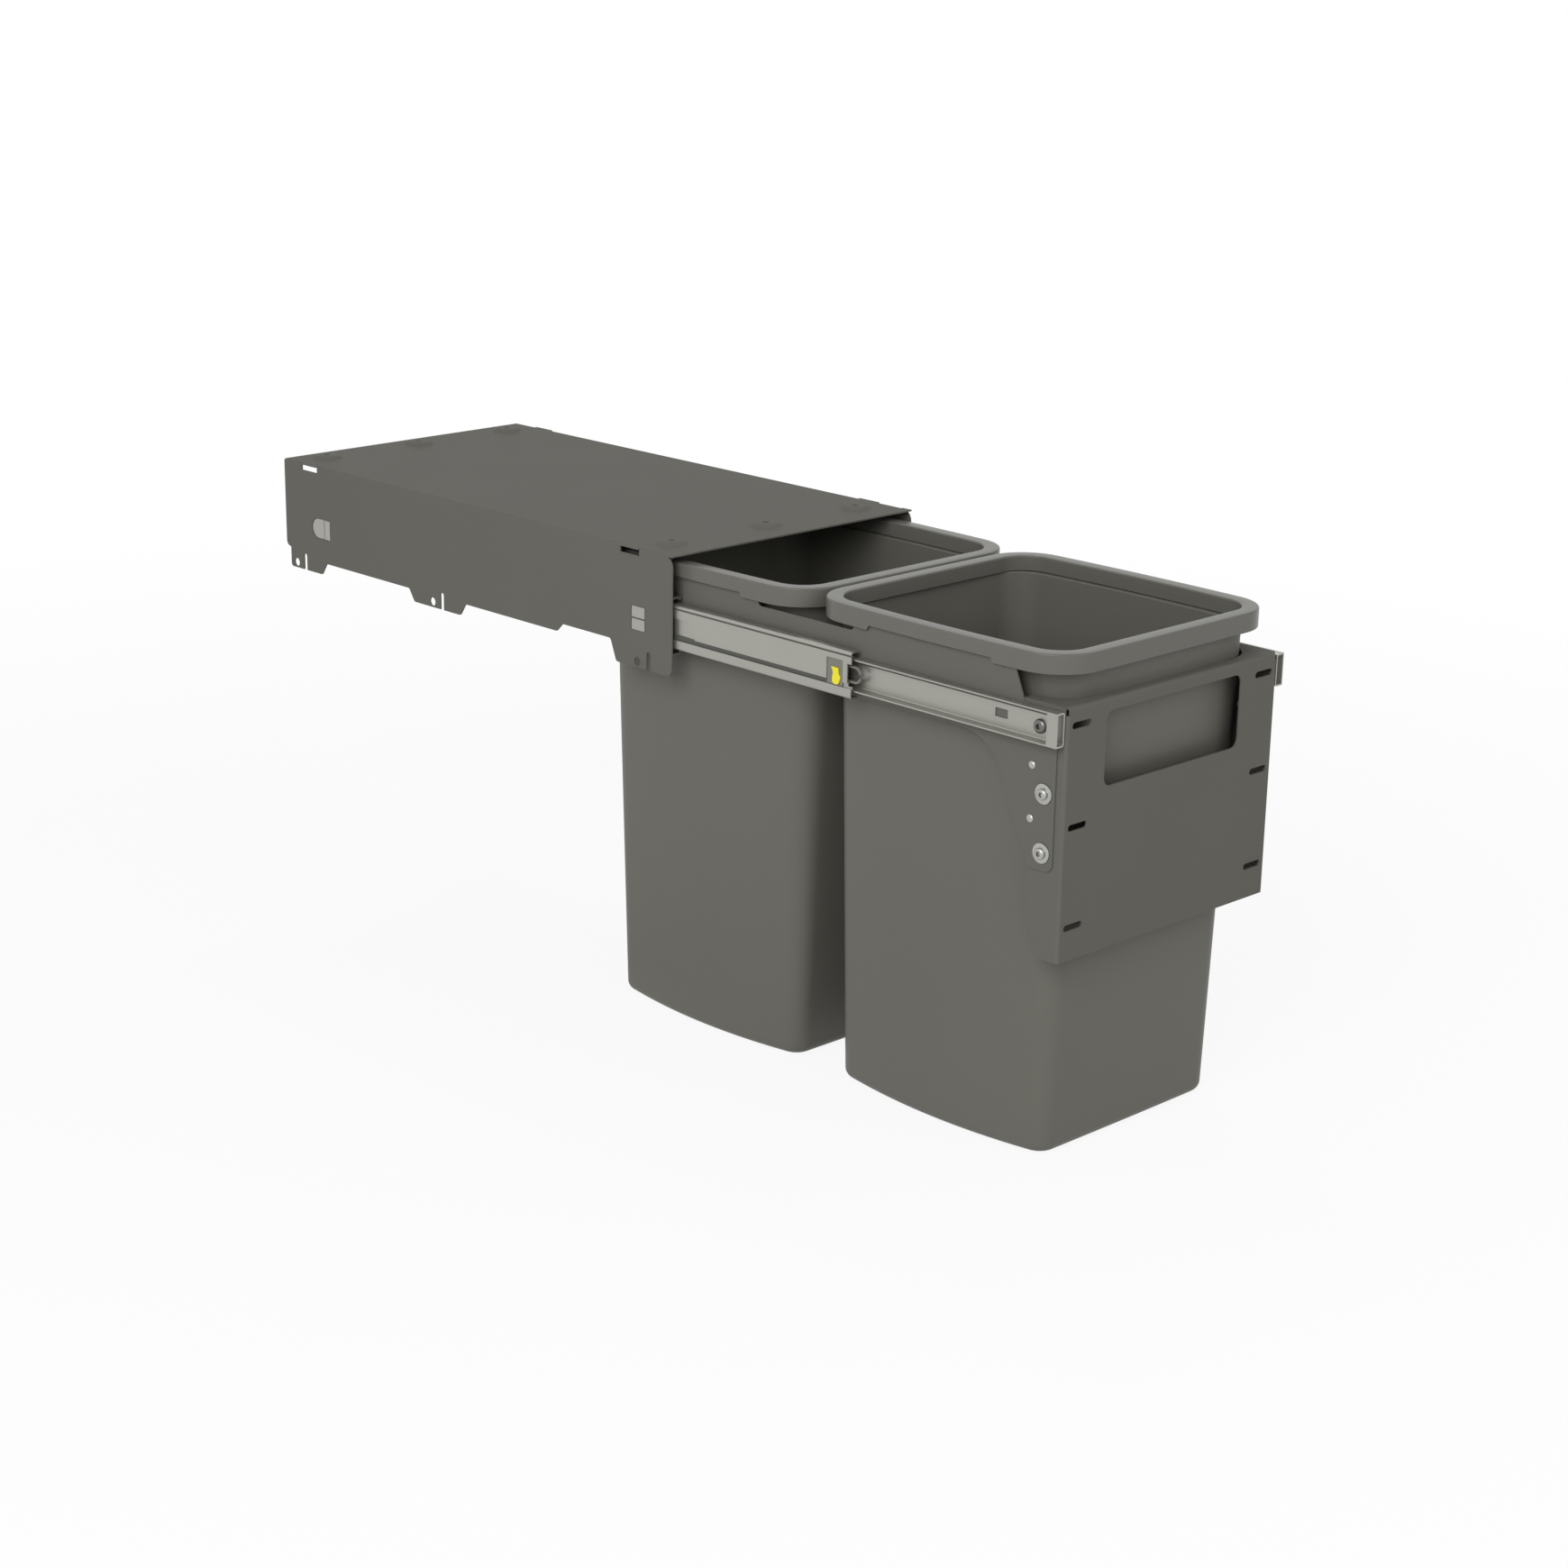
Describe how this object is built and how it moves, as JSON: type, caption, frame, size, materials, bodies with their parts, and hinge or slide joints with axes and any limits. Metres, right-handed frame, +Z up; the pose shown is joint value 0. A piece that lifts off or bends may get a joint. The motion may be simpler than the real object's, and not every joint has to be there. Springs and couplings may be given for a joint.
{
  "type": "pull-out waste unit",
  "caption": "Pull-out waste unit for a kitchen cabinet: a folded steel cover on ball slides, with a drawer frame, lift-out buckets with rim rings and a door bracket.",
  "frame": {"origin": "centre of the top screw pattern, in the plane of the raised bosses' upper faces", "axes": "+Z up out of the fixing plane, -Y the way the drawer pulls out, +X to the right as seen from in front"},
  "size_m": [0.2664, 0.8905, 0.3905],
  "materials": {
    "paint": "fine satin powder coat, dark warm grey",
    "zinc": "bright zinc plate, satin",
    "cage": "plain bright steel",
    "screw": "bright zinc plate",
    "moulding": "moulded mid-grey plastic",
    "latch": "moulded yellow plastic",
    "bucket": "moulded dark grey plastic, fine satin grain",
    "ring": "moulded dark grey plastic, satin"
  },
  "bodies": {
    "frame": {"cover_frame": "paint", "slide_outer_left": "zinc", "slide_outer_right": "zinc", "slide_bumper_left": "moulding", "slide_bumper_right": "moulding"},
    "drawer": {"slide_inner_left": "zinc", "slide_inner_right": "zinc", "side_plate_left": "paint", "side_plate_right": "paint", "rear_cross_tie": "paint", "door_bracket": "paint", "slide_screws": "screw", "slide_nuts": "screw", "adjust_screws": "screw", "adjust_nuts": "screw", "bracket_rivets": "screw", "tie_rivets": "screw"},
    "middle_left": {"slide_middle_left": "zinc", "slide_end_piece_left": "moulding", "latch_insert_left": "latch"},
    "cage_outer_left": {"ball_cage_outer_left": "cage"},
    "cage_inner_left": {"ball_cage_inner_left": "cage"},
    "middle_right": {"slide_middle_right": "zinc", "slide_end_piece_right": "moulding", "latch_insert_right": "latch"},
    "cage_outer_right": {"ball_cage_outer_right": "cage"},
    "cage_inner_right": {"ball_cage_inner_right": "cage"},
    "bucket_front": {"bucket_front": "bucket", "rim_ring_front": "ring"},
    "bucket_back": {"bucket_back": "bucket", "rim_ring_back": "ring"}
  },
  "joints": [
    {"name": "drawer_slide", "type": "slide", "parent": "frame", "child": "drawer", "axis": [0, -1, 0], "range_m": [-0.383, 0.117]},
    {"name": "middle_left_slide", "type": "slide", "parent": "frame", "child": "middle_left", "axis": [0, -1, 0], "range_m": [-0.1915, 0.0585]},
    {"name": "cage_outer_left_slide", "type": "slide", "parent": "frame", "child": "cage_outer_left", "axis": [0, -1, 0], "range_m": [-0.09575, 0.02925]},
    {"name": "cage_inner_left_slide", "type": "slide", "parent": "frame", "child": "cage_inner_left", "axis": [0, -1, 0], "range_m": [-0.28725, 0.08775]},
    {"name": "middle_right_slide", "type": "slide", "parent": "frame", "child": "middle_right", "axis": [0, -1, 0], "range_m": [-0.1915, 0.0585]},
    {"name": "cage_outer_right_slide", "type": "slide", "parent": "frame", "child": "cage_outer_right", "axis": [0, -1, 0], "range_m": [-0.09575, 0.02925]},
    {"name": "cage_inner_right_slide", "type": "slide", "parent": "frame", "child": "cage_inner_right", "axis": [0, -1, 0], "range_m": [-0.28725, 0.08775]},
    {"name": "bucket_front_lift", "type": "slide", "parent": "drawer", "child": "bucket_front", "axis": [0, 0, 1], "range_m": [0, 0.004]},
    {"name": "bucket_back_lift", "type": "slide", "parent": "drawer", "child": "bucket_back", "axis": [0, 0, 1], "range_m": [0, 0.004]}
  ],
  "couplings": [
    {"joint": "middle_left_slide", "follows": "drawer_slide", "ratio": 0.5},
    {"joint": "cage_outer_left_slide", "follows": "drawer_slide", "ratio": 0.25},
    {"joint": "cage_inner_left_slide", "follows": "drawer_slide", "ratio": 0.75},
    {"joint": "middle_right_slide", "follows": "drawer_slide", "ratio": 0.5},
    {"joint": "cage_outer_right_slide", "follows": "drawer_slide", "ratio": 0.25},
    {"joint": "cage_inner_right_slide", "follows": "drawer_slide", "ratio": 0.75}
  ]
}
